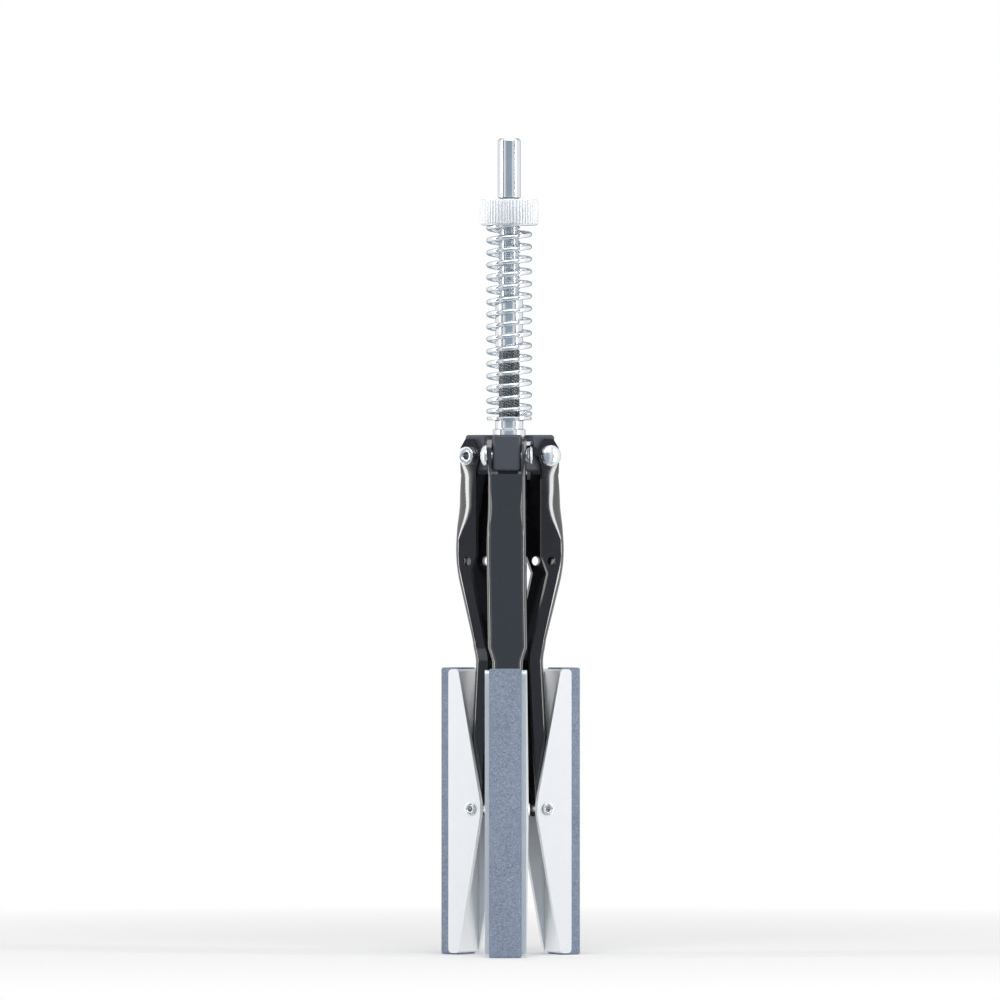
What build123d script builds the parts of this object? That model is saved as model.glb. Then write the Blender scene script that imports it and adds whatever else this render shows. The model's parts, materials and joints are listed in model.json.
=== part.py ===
from build123d import *
import math
import os

# Three-stone cylinder hone, all lengths in mm.
# The drive axis is Z. z = 0 is the middle of the plain shank, and the stones hang below it.
# Arm 1 faces -Y. Arms 2 and 3 follow at 120 degrees, anticlockwise seen from the shank.

# Layout
arm_angles = {1: -90, 2: 30, 3: 150}
running_gap = 0.05
pressed_gap = 0.01
face_gap = 0.1

# Drive shank with its threaded part, and the ferrule below it
shank_d = 8.0
shank_plain = 20.8
shank_chamfer = 0.8
thread_pitch_d = 7.2
thread_length = 42.6
ferrule_d = 9.6
ferrule_length = 17.4
ferrule_overlap = 8.0
ferrule_lip = 0.5

# Knurled tension nut and its thrust washer
nut_d = 20.4
nut_height = 9.0
nut_drop = 0.5
nut_recess_d = 17.0
nut_recess_depth = 5.0
nut_flutes = 54
nut_flute_depth = 0.5
nut_rim_band = 0.4
washer_d = 16.4
washer_bore_d = 8.3
washer_thickness = 1.0

# Pressure spring
spring_d = 16.0
spring_wire = 1.75
spring_turns = 16
spring_facets = 6

# Flexible shaft, a close-wound coil
cable_d = 7.0
cable_visible = 24.6
cable_turn = 1.37
cable_groove = 0.35
cable_seat = 7.0

# Hollow stem that grips the cable and carries the hub
stem_d = 8.4
stem_above_hub = 5.9
stem_below_hub = 3.6
stem_bore_depth = 8.0
stem_nut_width = 13.0
stem_nut_height = 3.0

# Sliding pressure collar
collar_above_hub = 6.3
collar_seat_d = 15.6
collar_seat_thickness = 1.2
collar_neck_d = 9.8
collar_neck_length = 3.2
collar_rim_d = 11.4
collar_horn_gap = 0.15
collar_foot_d = 17.0
collar_foot_thickness = 1.5

# Hub with three lobes
hub_height = 12.7
lobe_width = 10.2
lobe_beyond_pivot = 3.0
lobe_rounding = 1.6
lobe_edge = 0.7
hub_core_d = 12.8
well_clearance = 0.2
well_floor = 4.6

# Arm pivots
pivot_radius = 12.6
pivot_below_hub_top = 7.3
lobe_radius = pivot_radius + lobe_beyond_pivot
rivet_d = 4.0
rivet_head_d = 7.6
rivet_head_height = 2.4
rivet_tail_d = 4.9
rivet_flare_d = 5.6
rivet_flare_length = 0.8
rivet_tail_length = 1.9
rivet_bore_d = 2.2
rivet_bore_depth = 6.0

# Stamped arm, a channel open towards the axis
sheet = 1.6
bend_radius = 2.0
horn_length = 7.0
horn_angle = 16.0
horn_nose_r = 1.4
horn_neck = 1.0
horn_root = 4.4
cheek_top = 5.9
cheek_inner = -1.6
cheek_corner = (1.2, 3.3)
cheek_corner_drop = 3.1
web_below_pivot = 6.4
web_top_radius = 16.5
web_bulge_radius = 19.2
web_bulge_drop = 36.7
web_bulge_rounding = 45.0
web_top_rounding = 4.0
web_waist_radius = 11.0
web_waist_drop = 66.7
web_waist_rounding = 25.0
flange_inner_radius = 9.5
flange_step_drop = 35.0
flange_step_radius = 11.8
flange_step_length = 6.0
flange_waist_radius = 5.2
flange_waist_drop = 68.4
joggle_length = 5.0
joggle_rounding = 4.0
arm_tail_width = 10.6
arm_tail_end_r = 2.9
arm_tail_web_stop = 8.0
tie_hole_d = 3.2
tie_hole_radius = 13.1

# Stone holder and its pin
holder_pin_drop = 123.0
holder_pin_radius = 11.4
holder_pin_d = 3.2
holder_pin_head_d = 4.6
holder_pin_head = 0.6
holder_pin_bore_d = 1.9
holder_pin_bore_depth = 2.2
holder_sheet = 1.7
holder_web = 1.0
holder_lip = 4.8
holder_inset = 0.5
holder_eye_r = 4.0
holder_corner = 1.5

# Honing stone
stone_length = 100.0
stone_width = 11.0
stone_depth = 7.9
stone_crown = 0.35
stone_edge = 0.6
stone_face_radius = 25.5
stone_centre_offset = 0.9

# Levels along the axis
thread_top = -shank_plain / 2
thread_end = thread_top - thread_length
nut_top = thread_top - nut_drop
nut_bottom = nut_top - nut_height
recess_top = nut_bottom + nut_recess_depth
washer_bottom = recess_top - washer_thickness
ferrule_top = thread_end + ferrule_overlap
ferrule_bottom = ferrule_top - ferrule_length
cable_bottom = ferrule_bottom - cable_visible
hub_top = cable_bottom - stem_above_hub
hub_bottom = hub_top - hub_height
spring_bottom = hub_top + collar_above_hub
spring_length = washer_bottom - spring_bottom
stem_bottom = hub_bottom - stem_below_hub
pivot_z = hub_top - pivot_below_hub_top
horn_top = pivot_z + horn_length * math.sin(math.radians(horn_angle)) + horn_nose_r
collar_foot_bottom = horn_top + collar_horn_gap
arm_width = lobe_width + 2 * (face_gap + sheet)
holder_pin_z = pivot_z - holder_pin_drop
stone_middle = holder_pin_z - stone_centre_offset
stone_back_radius = stone_face_radius - stone_depth
holder_width = stone_width + 2 * (pressed_gap + holder_sheet)

os.makedirs("parts", exist_ok=True)


def side_plane(angle):
    """Plane through the axis: x runs out along the arm, y is up."""
    a = math.radians(angle)
    return Plane(origin=(0, 0, 0), x_dir=(math.cos(a), math.sin(a), 0), z_dir=(math.sin(a), -math.cos(a), 0))


def front_plane(angle):
    """Plane square to the arm: x runs across the arm, y is up."""
    a = math.radians(angle)
    return Plane(origin=(0, 0, 0), x_dir=(-math.sin(a), math.cos(a), 0), z_dir=(math.cos(a), math.sin(a), 0))


def cross_plane(angle, radius, height):
    """Plane of a cross pin: x runs along the pin, y runs out along the arm."""
    a = math.radians(angle)
    origin = (radius * math.cos(a), radius * math.sin(a), height)
    return Plane(origin=origin, x_dir=(math.sin(a), -math.cos(a), 0), z_dir=(0, 0, 1))


def cross_axis(plane):
    """Axis of the pin that lies in its cross plane."""
    return Axis(plane.origin, plane.x_dir)


def save(builder, label):
    """Label a finished piece and write it to its own file."""
    builder.part.label = label
    export_step(builder.part, f"parts/{label}.step")


# Drive shank: plain round end for the chuck, and a thread at its pitch diameter below
with BuildPart() as drive_shank:
    with BuildSketch(Plane.XY.offset(thread_top)):
        Circle(shank_d / 2)
    extrude(amount=shank_plain)
    chamfer(drive_shank.edges().sort_by(Axis.Z)[-1], shank_chamfer)
    with BuildSketch(Plane.XY.offset(thread_end)):
        Circle(thread_pitch_d / 2)
    extrude(amount=thread_length)
save(drive_shank, "drive_shank")

# Upper ferrule: joins the threaded rod to the cable
with BuildPart() as upper_ferrule:
    with BuildSketch(Plane.XY.offset(ferrule_bottom)):
        Circle(ferrule_d / 2)
    extrude(amount=ferrule_length)
    chamfer(upper_ferrule.edges().group_by(Axis.Z)[-1], ferrule_lip)
    chamfer(upper_ferrule.edges().group_by(Axis.Z)[0], ferrule_lip)
    with BuildSketch(Plane.XY.offset(thread_end)):
        Circle(thread_pitch_d / 2 + pressed_gap)
    extrude(amount=ferrule_overlap, mode=Mode.SUBTRACT)
    with BuildSketch(Plane.XY.offset(ferrule_bottom)):
        Circle(cable_d / 2 + pressed_gap)
    extrude(amount=cable_seat, mode=Mode.SUBTRACT)
save(upper_ferrule, "upper_ferrule")

# Thrust washer between the nut and the spring
with BuildPart() as thrust_washer:
    with BuildSketch(Plane.XY.offset(washer_bottom)):
        Circle(washer_d / 2)
        Circle(washer_bore_d / 2, mode=Mode.SUBTRACT)
    extrude(amount=washer_thickness)
save(thrust_washer, "thrust_washer")

# Tension nut: straight knurl, two plain rims, and a recess that covers the spring's end
nut_points = []
for step in range(2 * nut_flutes):
    flute_angle = math.pi * step / nut_flutes
    flute_radius = nut_d / 2 - nut_flute_depth * (step % 2)
    nut_points.append((flute_radius * math.cos(flute_angle), flute_radius * math.sin(flute_angle)))

with BuildPart() as tension_nut:
    with BuildSketch(Plane.XY.offset(nut_bottom)):
        Circle(nut_d / 2 - nut_flute_depth)
    extrude(amount=nut_height)
    chamfer(tension_nut.edges().filter_by(GeomType.CIRCLE), nut_rim_band / 2)
    with BuildSketch(Plane.XY.offset(nut_bottom + nut_rim_band)):
        with BuildLine():
            Polyline(*nut_points, close=True)
        make_face()
    extrude(amount=nut_height - 2 * nut_rim_band)
    with BuildSketch(Plane.XY.offset(nut_bottom)):
        Circle(nut_recess_d / 2)
    extrude(amount=nut_recess_depth, mode=Mode.SUBTRACT)
    with BuildSketch(Plane.XY.offset(nut_bottom)):
        Circle(thread_pitch_d / 2 + running_gap)
    extrude(amount=nut_height, mode=Mode.SUBTRACT)
save(tension_nut, "tension_nut")

# Pressure spring between the thrust washer and the collar
spring_rise = spring_length - spring_wire
with BuildPart() as pressure_spring:
    with BuildLine() as spring_path:
        Helix(
            pitch=spring_rise / spring_turns,
            height=spring_rise,
            radius=(spring_d - spring_wire) / 2,
            center=(0, 0, spring_bottom + spring_wire / 2),
        )
    with BuildSketch(Plane(origin=spring_path.line @ 0, z_dir=spring_path.line % 0)):
        RegularPolygon(spring_wire / 2, spring_facets)
    sweep(is_frenet=True)
save(pressure_spring, "pressure_spring")

# Flexible shaft: a close-wound cable seated in both ferrules
cable_top = ferrule_bottom + cable_seat
cable_foot = cable_bottom - stem_bore_depth
cable_turns = int(cable_visible / cable_turn)
with BuildPart() as flexible_shaft:
    with BuildSketch(Plane.XZ):
        with BuildLine():
            outline = [(0, cable_top), (cable_d / 2, cable_top), (cable_d / 2, ferrule_bottom)]
            for turn in range(cable_turns):
                turn_top = ferrule_bottom - turn * cable_visible / cable_turns
                turn_height = cable_visible / cable_turns
                outline.append((cable_d / 2 - cable_groove, turn_top - turn_height / 2))
                outline.append((cable_d / 2, turn_top - turn_height))
            outline += [(cable_d / 2, cable_foot), (0, cable_foot)]
            Polyline(*outline, close=True)
        make_face()
    revolve(axis=Axis.Z)
save(flexible_shaft, "flexible_shaft")

# Hub stem: hollow at the top for the cable, solid through the hub
with BuildPart() as hub_stem:
    with BuildSketch(Plane.XY.offset(stem_bottom)):
        Circle(stem_d / 2)
    extrude(amount=cable_bottom - stem_bottom)
    with BuildSketch(Plane.XY.offset(cable_foot)):
        Circle(cable_d / 2 + pressed_gap)
    extrude(amount=stem_bore_depth, mode=Mode.SUBTRACT)
save(hub_stem, "hub_stem")

# Stem nut: holds the hub on its stem
with BuildPart() as stem_nut:
    with BuildSketch(Plane.XY.offset(hub_bottom)):
        RegularPolygon(stem_nut_width / 2, 6, major_radius=False)
        Circle(stem_d / 2 + pressed_gap, mode=Mode.SUBTRACT)
    extrude(amount=-stem_nut_height)
save(stem_nut, "stem_nut")

# Pressure collar: spring seat, neck, rim, and the foot that presses on the horns
seat_bottom = spring_bottom - collar_seat_thickness
collar_steps = [
    (collar_seat_d, spring_bottom, seat_bottom),
    (collar_neck_d, seat_bottom, seat_bottom - collar_neck_length),
    (collar_rim_d, seat_bottom - collar_neck_length, collar_foot_bottom + collar_foot_thickness),
    (collar_foot_d, collar_foot_bottom + collar_foot_thickness, collar_foot_bottom),
]
with BuildPart() as pressure_collar:
    for step_d, step_top, step_bottom in collar_steps:
        with BuildSketch(Plane.XY.offset(step_bottom)):
            Circle(step_d / 2)
        extrude(amount=step_top - step_bottom)
    with BuildSketch(Plane.XY.offset(spring_bottom)):
        Circle(stem_d / 2 + running_gap)
    extrude(amount=collar_foot_bottom - spring_bottom, mode=Mode.SUBTRACT)
save(pressure_collar, "pressure_collar")

# Hub: three lobes round a core, with a well that the collar sinks into
with BuildPart() as hub:
    with BuildSketch(Plane.XY.offset(hub_bottom)):
        with PolarLocations(0, 3, start_angle=arm_angles[1]):
            with Locations((lobe_radius / 2, 0)):
                Rectangle(lobe_radius, lobe_width)
        Circle(hub_core_d / 2)
    extrude(amount=hub_height)
    lobe_corners = hub.edges().filter_by(Axis.Z).filter_by(
        lambda edge: math.hypot(edge.center().X, edge.center().Y) > lobe_radius
    )
    fillet(lobe_corners, lobe_rounding)
    lobe_rims = hub.edges().filter_by(Plane.XY).filter_by(
        lambda edge: math.hypot(edge.center().X, edge.center().Y) > pivot_radius
    )
    chamfer(lobe_rims, lobe_edge)
    with BuildSketch(Plane.XY.offset(hub_top)):
        Circle(collar_foot_d / 2 + well_clearance)
    extrude(amount=-(hub_height - well_floor), mode=Mode.SUBTRACT)
    with BuildSketch(Plane.XY.offset(hub_bottom)):
        Circle(stem_d / 2 + pressed_gap)
    extrude(amount=hub_height, mode=Mode.SUBTRACT)
    for angle in arm_angles.values():
        with BuildSketch(side_plane(angle)):
            with Locations((pivot_radius, pivot_z)):
                Circle(rivet_d / 2 + pressed_gap)
        extrude(amount=lobe_width, both=True, mode=Mode.SUBTRACT)
save(hub, "hub")


def arm_back_points():
    """Corners of the arm's back in side view: web top, bulge, waist, tail."""
    return [
        (web_top_radius, pivot_z - web_below_pivot),
        (web_bulge_radius, pivot_z - web_bulge_drop),
        (web_waist_radius, pivot_z - web_waist_drop),
        (holder_pin_radius + arm_tail_end_r, holder_pin_z),
    ]


def arm_side_outline():
    """Side view of the arm: cheek, horn, bulged back, waist and tail."""
    def place(out, up):
        return (pivot_radius + out, pivot_z + up)

    tilt = math.radians(horn_angle)

    def along_horn(reach, lift):
        return place(-reach * math.cos(tilt) + lift * math.sin(tilt),
                     reach * math.sin(tilt) + lift * math.cos(tilt))

    nose_top = along_horn(horn_length, horn_nose_r)
    nose_tip = along_horn(horn_length + horn_nose_r, 0)
    nose_low = along_horn(horn_length, -horn_nose_r)
    tail_centre = (holder_pin_radius, holder_pin_z)
    waist_in = (flange_waist_radius, pivot_z - flange_waist_drop)
    with BuildLine() as outline:
        back = FilletPolyline(
            place(cheek_corner[1], cheek_top - cheek_corner_drop),
            *arm_back_points(),
            radius=[web_top_rounding, web_bulge_rounding, web_waist_rounding],
        )
        ThreePointArc(
            back @ 1,
            (tail_centre[0], tail_centre[1] - arm_tail_end_r),
            (tail_centre[0] - arm_tail_end_r, tail_centre[1]),
        )
        Polyline(
            (tail_centre[0] - arm_tail_end_r, tail_centre[1]),
            waist_in,
            (flange_step_radius, pivot_z - flange_step_drop - flange_step_length),
            (flange_inner_radius, pivot_z - flange_step_drop),
            (flange_inner_radius, pivot_z - horn_root),
            along_horn(horn_root, -horn_nose_r),
            nose_low,
        )
        ThreePointArc(nose_low, nose_tip, nose_top)
        Polyline(
            nose_top,
            along_horn(horn_length - horn_nose_r, horn_neck),
            along_horn(horn_root, horn_neck),
            place(cheek_inner, cheek_top),
            place(cheek_corner[0], cheek_top),
            place(cheek_corner[1], cheek_top - cheek_corner_drop),
        )
    return outline.line


def arm_front_outline(trim):
    """Front view of the arm: full width above the waist, narrow tail below, trimmed all round."""
    top = pivot_z + 2 * cheek_top
    waist = pivot_z - web_waist_drop
    low = holder_pin_z - 2 * arm_tail_end_r
    half = arm_width / 2 - trim
    half_tail = arm_tail_width / 2 - trim
    with BuildLine() as outline:
        for side in (-1, 1):
            FilletPolyline(
                (side * half, top), (side * half, waist),
                (side * half_tail, waist - joggle_length), (side * half_tail, low),
                radius=joggle_rounding,
            )
        Line((-half, top), (half, top))
        Line((-half_tail, low), (half_tail, low))
    return outline.line


def build_arm_blank(angle):
    """Outer form of the folded sheet: rounded bends below the web's top, square above it."""
    reach = 2 * web_bulge_radius
    web_top = pivot_z - web_below_pivot
    low = holder_pin_z - 2 * arm_tail_end_r
    out_axis = side_plane(angle).x_dir
    cross_dir = side_plane(angle).z_dir

    def is_bend(edge):
        middle = edge.center()
        outer = middle.dot(out_axis) > flange_inner_radius
        side = abs(middle.dot(cross_dir)) > arm_tail_width / 2 - sheet / 2
        return outer and side and low < middle.Z < web_top

    with BuildPart() as blank:
        with BuildSketch(side_plane(angle)):
            with BuildLine():
                back = FilletPolyline(*arm_back_points(), radius=[web_bulge_rounding, web_waist_rounding])
                Polyline(back @ 1, ((back @ 1).X, low), (0, low), (0, web_top), back @ 0)
            make_face()
        extrude(amount=arm_width / 2, both=True)
        with BuildSketch(front_plane(angle)):
            add(make_face(arm_front_outline(0).edges(), mode=Mode.PRIVATE))
        extrude(amount=reach, mode=Mode.INTERSECT)
        fillet(blank.edges().filter_by(is_bend), bend_radius)
        with BuildSketch(side_plane(angle)):
            with Locations((0, web_top)):
                Rectangle(reach, reach, align=(Align.MIN, Align.MIN))
        extrude(amount=arm_width / 2, both=True)
    return blank


def build_arm(angle):
    """One arm: its side and front views crossed, then hollowed to a channel."""
    reach = 2 * web_bulge_radius
    waist = pivot_z - web_waist_drop
    web_stop = holder_pin_z + arm_tail_web_stop
    blank = build_arm_blank(angle)
    with BuildPart() as hollow:
        with BuildSketch(side_plane(angle)):
            with BuildLine():
                inside = FilletPolyline(
                    (web_top_radius - sheet, pivot_z - web_below_pivot),
                    (web_bulge_radius - sheet, pivot_z - web_bulge_drop),
                    (web_waist_radius - sheet, waist),
                    (holder_pin_radius + arm_tail_end_r - sheet, web_stop),
                    radius=[web_bulge_rounding - sheet, web_waist_rounding + sheet],
                )
                Polyline(
                    inside @ 1,
                    (reach, web_stop),
                    (reach, holder_pin_z - reach),
                    (-reach, holder_pin_z - reach),
                    (-reach, pivot_z + reach),
                    (reach, pivot_z + reach),
                    (reach, pivot_z - web_below_pivot),
                    inside @ 0,
                )
            make_face()
        extrude(amount=arm_width, both=True)
        with BuildSketch(front_plane(angle)):
            add(make_face(arm_front_outline(sheet).edges(), mode=Mode.PRIVATE))
        extrude(amount=reach, mode=Mode.INTERSECT)
    with BuildPart() as arm:
        with BuildSketch(side_plane(angle)):
            add(make_face(arm_side_outline().edges(), mode=Mode.PRIVATE))
        extrude(amount=arm_width / 2, both=True)
        add(blank.part, mode=Mode.INTERSECT)
        add(hollow.part, mode=Mode.SUBTRACT)
        with BuildSketch(side_plane(angle)):
            with Locations((pivot_radius, pivot_z)):
                Circle(rivet_d / 2 + running_gap)
            with Locations((holder_pin_radius, holder_pin_z)):
                Circle(holder_pin_d / 2 + running_gap)
            with Locations((tie_hole_radius, pivot_z - web_bulge_drop)):
                Circle(tie_hole_d / 2)
        extrude(amount=arm_width, both=True, mode=Mode.SUBTRACT)
    return arm


def build_rivet(angle):
    """Arm pivot: domed head on one side, hollow flared tail on the other."""
    plane = cross_plane(angle, pivot_radius, pivot_z)
    grip = arm_width / 2 + face_gap
    dome_r = ((rivet_head_d / 2) ** 2 + rivet_head_height**2) / (2 * rivet_head_height)
    dome_centre = grip + rivet_head_height - dome_r
    dome_angle = math.degrees(math.atan2(rivet_head_d / 2, grip - dome_centre))
    with BuildPart() as rivet:
        with BuildSketch(plane):
            with BuildLine():
                Polyline(
                    (-grip - rivet_tail_length, 0),
                    (-grip - rivet_tail_length, rivet_flare_d / 2),
                    (-grip - rivet_tail_length + rivet_flare_length, rivet_tail_d / 2),
                    (-grip, rivet_tail_d / 2),
                    (-grip, rivet_d / 2), (grip, rivet_d / 2), (grip, rivet_head_d / 2),
                )
                CenterArc((dome_centre, 0), dome_r, 0, dome_angle)
                Line((dome_centre + dome_r, 0), (-grip - rivet_tail_length, 0))
            make_face()
        revolve(axis=cross_axis(plane))
        with BuildSketch(plane):
            with Locations((-grip - rivet_tail_length, 0)):
                Rectangle(rivet_bore_depth, rivet_bore_d / 2, align=(Align.MIN, Align.MIN))
        revolve(axis=cross_axis(plane), mode=Mode.SUBTRACT)
    return rivet


def build_holder(angle):
    """Stone holder: channel for the stone, with side plates that taper to the pin's eyes."""
    top = stone_middle + stone_length / 2 - holder_inset
    low = stone_middle - stone_length / 2 + holder_inset
    lip = stone_face_radius - holder_lip
    back = stone_back_radius - pressed_gap - holder_web
    eye = (holder_pin_radius, holder_pin_z)
    with BuildPart() as holder:
        with BuildSketch(side_plane(angle)):
            with BuildLine():
                FilletPolyline(
                    (back, top), (lip, top), (lip, low), (back, low),
                    (eye[0] - holder_eye_r, eye[1] - holder_eye_r / 2),
                    (eye[0] - holder_eye_r, eye[1] + holder_eye_r / 2),
                    radius=holder_corner, close=True,
                )
            make_face()
        extrude(amount=holder_width / 2, both=True)
        with BuildSketch(front_plane(angle).offset(back)):
            with Locations((0, stone_middle)):
                Rectangle(stone_width + 2 * pressed_gap, 2 * stone_length)
        extrude(amount=-back, mode=Mode.SUBTRACT)
        with BuildSketch(front_plane(angle).offset(back + holder_web)):
            with Locations((0, stone_middle)):
                Rectangle(stone_width + 2 * pressed_gap, 2 * stone_length)
        extrude(amount=stone_depth, mode=Mode.SUBTRACT)
        with BuildSketch(side_plane(angle)):
            with Locations(eye):
                Circle(holder_pin_d / 2 + pressed_gap)
        extrude(amount=holder_width, both=True, mode=Mode.SUBTRACT)
    return holder


def build_holder_pin(angle):
    """Pin of the stone holder, with a small flared end on both sides."""
    plane = cross_plane(angle, holder_pin_radius, holder_pin_z)
    grip = holder_width / 2 + pressed_gap
    with BuildPart() as pin:
        with BuildSketch(plane):
            Rectangle(2 * grip, holder_pin_d / 2, align=(Align.CENTER, Align.MIN))
            for end in (-1, 1):
                with Locations((end * (grip + holder_pin_head / 2), 0)):
                    Rectangle(holder_pin_head, holder_pin_head_d / 2, align=(Align.CENTER, Align.MIN))
        revolve(axis=cross_axis(plane))
        with BuildSketch(plane):
            for end in (-1, 1):
                with Locations((end * (grip + holder_pin_head - holder_pin_bore_depth / 2), 0)):
                    Rectangle(holder_pin_bore_depth, holder_pin_bore_d / 2, align=(Align.CENTER, Align.MIN))
        revolve(axis=cross_axis(plane), mode=Mode.SUBTRACT)
    return pin


def build_stone(angle):
    """Honing stone with a slightly crowned face and eased long edges."""
    a = math.radians(angle)
    low = stone_middle - stone_length / 2
    section = Plane(origin=(0, 0, low), x_dir=(math.cos(a), math.sin(a), 0), z_dir=(0, 0, 1))
    half = stone_width / 2
    edge_radius = stone_face_radius - stone_crown
    with BuildPart() as stone:
        with BuildSketch(section):
            with BuildLine():
                Polyline(
                    (edge_radius - stone_edge, half), (stone_back_radius, half),
                    (stone_back_radius, -half), (edge_radius - stone_edge, -half),
                    (edge_radius, stone_edge - half),
                )
                ThreePointArc(
                    (edge_radius, stone_edge - half), (stone_face_radius, 0), (edge_radius, half - stone_edge)
                )
                Line((edge_radius, half - stone_edge), (edge_radius - stone_edge, half))
            make_face()
        extrude(amount=stone_length)
    return stone


# The three arms with their rivets, holders, pins and stones
for number, arm_angle in arm_angles.items():
    save(build_arm(arm_angle), f"arm_{number}")
    save(build_rivet(arm_angle), f"pivot_rivet_{number}")
    save(build_holder(arm_angle), f"stone_holder_{number}")
    save(build_holder_pin(arm_angle), f"holder_pin_{number}")
    save(build_stone(arm_angle), f"stone_{number}")
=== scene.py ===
import json
from math import cos, hypot, pi, radians, sin, tan

import bmesh
import bpy
from mathutils import Matrix, Vector


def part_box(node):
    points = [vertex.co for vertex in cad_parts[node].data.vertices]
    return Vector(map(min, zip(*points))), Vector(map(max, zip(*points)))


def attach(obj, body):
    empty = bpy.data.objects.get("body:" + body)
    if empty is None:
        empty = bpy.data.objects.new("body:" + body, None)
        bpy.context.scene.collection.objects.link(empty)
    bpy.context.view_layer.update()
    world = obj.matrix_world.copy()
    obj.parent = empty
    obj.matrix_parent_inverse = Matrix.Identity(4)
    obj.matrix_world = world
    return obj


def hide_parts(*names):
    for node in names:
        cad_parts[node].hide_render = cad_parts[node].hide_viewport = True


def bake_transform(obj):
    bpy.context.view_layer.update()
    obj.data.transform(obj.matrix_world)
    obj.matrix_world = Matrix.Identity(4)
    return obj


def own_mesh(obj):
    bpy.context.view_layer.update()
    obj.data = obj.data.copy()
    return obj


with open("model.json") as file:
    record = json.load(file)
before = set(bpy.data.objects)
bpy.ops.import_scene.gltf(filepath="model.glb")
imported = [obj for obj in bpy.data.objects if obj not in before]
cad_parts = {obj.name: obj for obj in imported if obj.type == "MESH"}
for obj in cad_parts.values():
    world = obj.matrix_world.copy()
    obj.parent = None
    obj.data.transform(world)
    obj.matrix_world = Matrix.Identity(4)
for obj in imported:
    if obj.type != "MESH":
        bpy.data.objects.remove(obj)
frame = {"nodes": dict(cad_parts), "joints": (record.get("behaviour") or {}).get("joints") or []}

# Three-stone cylinder hone. Lengths are in metres, and mm turns a size in millimetres into metres.
mm = 0.001
scene = bpy.context.scene
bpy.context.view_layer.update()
arm_angles = {1: -90, 2: 30, 3: 150}

# Levels and radii read from the construction
shank_low, shank_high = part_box("drive_shank")
nut_low, nut_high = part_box("tension_nut")
washer_low, washer_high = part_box("thrust_washer")
ferrule_low, ferrule_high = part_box("upper_ferrule")
cable_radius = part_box("flexible_shaft")[1].x
collar_low, collar_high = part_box("pressure_collar")
stem_low, stem_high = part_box("hub_stem")
stone_low, stone_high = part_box("stone_1")
holder_low, holder_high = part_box("stone_holder_1")
arm_low, arm_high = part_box("arm_1")
joints = {joint["name"]: joint for joint in frame["joints"]}
pivot, holder_pin, bend = (joints[name]["pos_m"] for name in ("arm_1_swing", "holder_1_tilt", "shaft_bend"))
pivot_radius, pivot_level = hypot(*pivot[:2]), pivot[2]
holder_pin_radius, holder_pin_level = hypot(*holder_pin[:2]), holder_pin[2]
bend_level = bend[2]

# Shank, nut and washer
shank_radius = shank_high.x
shank_plain = 20.8 * mm
shank_chamfer = 0.8 * mm
thread_pitch = 1.25 * mm
thread_crest = 3.95 * mm
thread_depth = 0.68 * mm
rows_per_pitch = 18
knurl_flutes = 54
knurl_room = 0.5 * mm
knurl_depth = 0.3 * mm
nut_rim = 0.4 * mm
nut_recess_radius = 8.5 * mm
nut_recess_depth = 5.0 * mm
washer_bore = 4.15 * mm

# Spring, cable and collar
wire_radius = 0.875 * mm
coil_radius = 8.0 * mm - wire_radius
closed_turns = 0.9
upper_turns = 14
points_per_turn = 56
cable_wires = 9
cable_lay = 10.0 * mm
cable_wire_depth = 0.42 * mm
cable_bore = 3.7 * mm
collar_seat_radius = 7.8 * mm
collar_seat_thickness = 1.2 * mm
collar_neck_radius = 4.9 * mm
collar_neck_length = 3.2 * mm
collar_rim_radius = 5.7 * mm
collar_foot_radius = 8.5 * mm
collar_foot_thickness = 1.5 * mm

# Arm's back, and its rolled shoulders in millimetres: drop below the pivot, then how far the roll
# reaches into the cheek and into the web
web_beyond_pivot = 3.9 * mm
web_below_pivot = 6.4 * mm
web_bulge_radius = 19.2 * mm
web_bulge_drop = 36.7 * mm
web_waist_radius = 11.0 * mm
web_waist_drop = 66.7 * mm
tail_beyond_pin = 2.9 * mm
shoulder_knots = (
    (-8, 7.4, 0.0), (-0.5, 7.4, 0.0), (4, 7.4, 0.8), (6.5, 7.4, 1.3), (12, 7.2, 1.6), (18, 7.2, 2.3),
    (22, 6.2, 1.9), (25, 4.4, 1.4), (28, 2.8, 1.1), (31, 1.6, 0.95), (36, 1.2, 0.9), (200, 1.2, 0.9),
)
roll_steps = 16

# Rivets, pins and stones
rivet_radius = 2.0 * mm
rivet_head_radius = 3.8 * mm
rivet_head_height = 2.4 * mm
rivet_head_rim = 0.35 * mm
rivet_tail_length = 1.9 * mm
rivet_flare_radius = 3.3 * mm
rivet_bore = 1.2 * mm
rivet_bore_depth = 6.0 * mm
pin_radius = 1.6 * mm
pin_head_radius = 2.3 * mm
pin_head = 0.6 * mm
pin_bore = 0.95 * mm
pin_bore_depth = 2.2 * mm
stone_crown = 0.35 * mm
stone_edge = 0.6 * mm
stone_step = 0.55 * mm

# Mesh limits: the shortest rounding, its largest share of a side, and the smooth angle of sheet
least_length = 1e-7
largest_share = 0.48
sheet_angle = 35

# Kinds of sockets
FLOAT, VECTOR = "NodeSocketFloat", "NodeSocketVector"
GEOMETRY, MATERIAL = "NodeSocketGeometry", "NodeSocketMaterial"


def add_node(tree, kind, values=None, **settings):
    """A new node with its settings, its values and the sockets linked to it."""
    made = tree.nodes.new(kind)
    for key, value in settings.items():
        setattr(made, key, value)
    for key, value in (values or {}).items():
        if isinstance(value, bpy.types.NodeSocket):
            tree.links.new(value, made.inputs[key])
        else:
            made.inputs[key].default_value = value
    return made


def calc(tree, operation, *terms):
    """The output of a math node fed with numbers or sockets."""
    return add_node(tree, "ShaderNodeMath", dict(enumerate(terms)), operation=operation).outputs[0]


def product(tree, first, second):
    """The product of two numbers or sockets."""
    return calc(tree, "MULTIPLY", first, second)


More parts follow.
